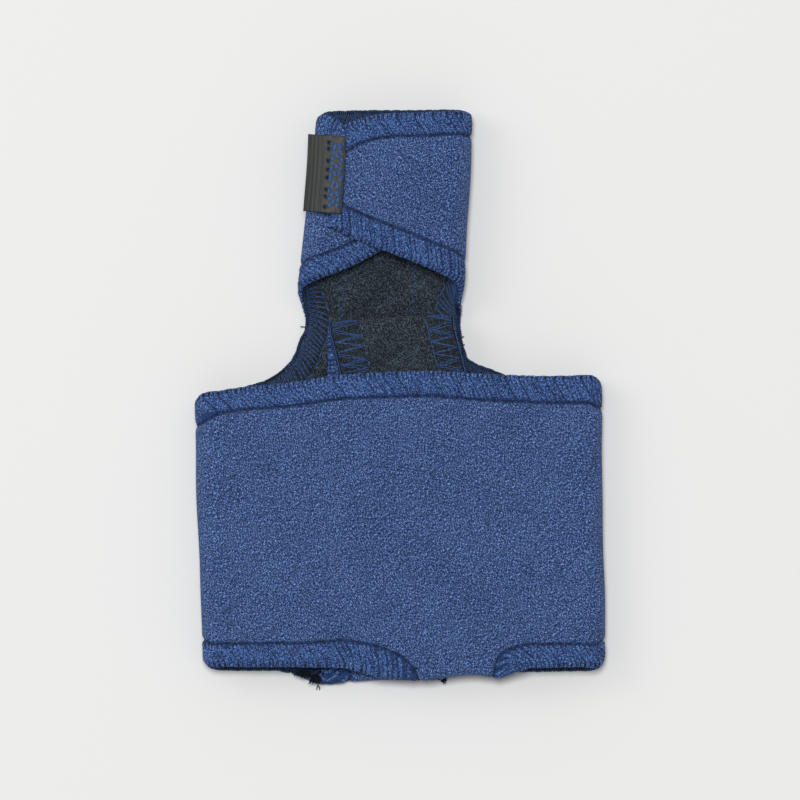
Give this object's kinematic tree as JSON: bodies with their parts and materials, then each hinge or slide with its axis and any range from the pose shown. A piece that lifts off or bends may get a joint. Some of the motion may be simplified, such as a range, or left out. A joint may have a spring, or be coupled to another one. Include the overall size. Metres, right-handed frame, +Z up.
{
  "type": "toe corrector",
  "caption": "Padded terry foot band with a toe loop on a narrow neck, closed by a hook tab, and a heel strap folded up inside the band.",
  "frame": {"origin": "middle of the base, on the surface that the corrector lies on", "axes": "+X to the right across the foot band as the picture shows it, +Y along the foot towards the toe loop, +Z up from the surface"},
  "size_m": [0.1056, 0.146, 0.0172],
  "materials": {
    "terry_laminate": "brushed terry loops in mid blue on thin foam, with a smooth black knit lining and blue overlocked edges",
    "hook_plastic": "satin dark grey moulded hook tape, faintly ribbed along its length"
  },
  "bodies": {
    "root": {"foot_band": "terry_laminate", "toe_strap": "terry_laminate", "heel_strap": "terry_laminate", "hook_tab": "hook_plastic"}
  },
  "joints": []
}
